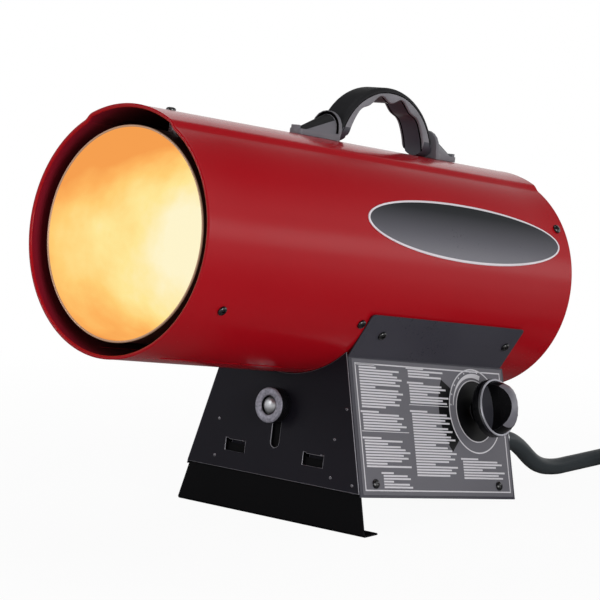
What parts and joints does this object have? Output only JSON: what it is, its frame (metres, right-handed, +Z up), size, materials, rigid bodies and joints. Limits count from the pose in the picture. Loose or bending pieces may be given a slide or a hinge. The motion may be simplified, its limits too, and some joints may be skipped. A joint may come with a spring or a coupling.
{
  "type": "forced air gas heater",
  "caption": "Portable forced air gas heater: a round tube with a combustion chamber, fan and motor inside, on a folded base with a sliding front leg, carrying handle, gas knob and hose.",
  "frame": {"origin": "on the floor, under the middle of the heater's own box, without the hose", "axes": "+Z up, the hot air outlet faces -Y, the gas knob is on the +X side; the tube rises 8.5 degrees towards the outlet"},
  "size_m": [0.3707, 0.7721, 0.372],
  "materials": {
    "shell": "glossy red enamel",
    "chamber": "heat tinted steel sheet",
    "base": "black enamel",
    "screws": "black oxide",
    "bright": "zinc plated steel",
    "ring": "dull cast grey",
    "knobs": "black moulded plastic",
    "button": "red moulded plastic",
    "handle": "textured dark grey plastic",
    "brass": "machined brass",
    "ceramic": "white glazed ceramic",
    "hose": "ribless black rubber hose",
    "zinc": "die cast zinc alloy"
  },
  "bodies": {
    "chassis": {"outer_shell": "shell", "combustion_chamber": "chamber", "chamber_rear_wall": "chamber", "burner_plate": "chamber", "flame_cup": "chamber", "side_cover": "base", "left_panel": "base", "front_panel": "base", "rear_panel": "base", "rear_guard": "base", "fan_motor": "base", "shell_screw_top": "screws", "shell_screw_front_right": "screws", "shell_screw_front_left": "screws", "shell_screw_middle_right": "screws", "shell_screw_middle_left": "screws", "shell_screw_rear_right": "screws", "shell_screw_rear_left": "screws", "shell_screw_rear_bottom": "screws", "flange_screw_right_front": "screws", "flange_screw_right_rear": "screws", "flange_screw_left_front": "screws", "flange_screw_left_rear": "screws", "cover_screw_front": "screws", "cover_screw_rear": "screws", "chamber_strap_front_top": "bright", "chamber_strap_rear_top": "bright", "chamber_strap_front_right": "bright", "chamber_strap_rear_right": "bright", "chamber_strap_front_left": "bright", "chamber_strap_rear_left": "bright", "thermocouple": "bright", "motor_bracket": "bright", "hose_ferrule": "bright", "igniter_body": "knobs", "mains_gland": "knobs", "hi_limit_switch": "knobs", "handle_grip": "handle", "handle_front_bracket": "handle", "handle_rear_bracket": "handle", "gas_jet": "brass", "gas_valve": "brass", "burner_pipe": "brass", "inlet_pipe": "brass", "gas_inlet": "brass", "igniter_electrode": "ceramic", "gas_hose": "hose", "hose_coil": "hose", "regulator": "zinc"},
    "leg": {"front_leg": "base", "clamp_bolt": "bright", "clamp_nut": "bright"},
    "clamp_knob": {"clamp_knob": "knobs", "clamp_knob_ring": "ring"},
    "valve_stem": {"valve_stem": "brass"},
    "gas_knob": {"gas_knob": "knobs"},
    "igniter_button": {"igniter_button": "button"},
    "fan_rotor": {"fan": "bright", "motor_shaft": "bright"},
    "tank_nut": {"tank_nut": "knobs"}
  },
  "joints": [
    {"name": "leg_slide", "type": "slide", "parent": "chassis", "child": "leg", "axis": [0, -0.1478, -0.989], "range_m": [0, 0.031]},
    {"name": "clamp_knob_turn", "type": "hinge", "parent": "leg", "child": "clamp_knob", "pos_m": [-0.0079, -0.05195, 0.09863], "axis": [0, 0.989, -0.1478], "range_deg": [0, 360]},
    {"name": "gas_knob_turn", "type": "hinge", "parent": "chassis", "child": "valve_stem", "pos_m": [0.07272, 0.13145, 0.08292], "axis": [0.9632, 0.0397, 0.266], "range_deg": [0, 120]},
    {"name": "gas_knob_push", "type": "slide", "parent": "valve_stem", "child": "gas_knob", "axis": [-0.9632, -0.0397, -0.266], "range_m": [0, 0.004], "stiffness_N_per_m": 500, "springref_m": -0.004},
    {"name": "igniter_press", "type": "slide", "parent": "chassis", "child": "igniter_button", "axis": [0, -0.989, 0.1478], "range_m": [0, 0.006], "stiffness_N_per_m": 400, "springref_m": -0.004},
    {"name": "fan_spin", "type": "hinge", "parent": "chassis", "child": "fan_rotor", "pos_m": [-0.0079, 0.13531, 0.2035], "axis": [0, 0.989, -0.1478], "continuous": true},
    {"name": "tank_nut_turn", "type": "hinge", "parent": "chassis", "child": "tank_nut", "pos_m": [0.2307, 0.3076, 0.02425], "axis": [0, 1, 0], "continuous": true}
  ]
}
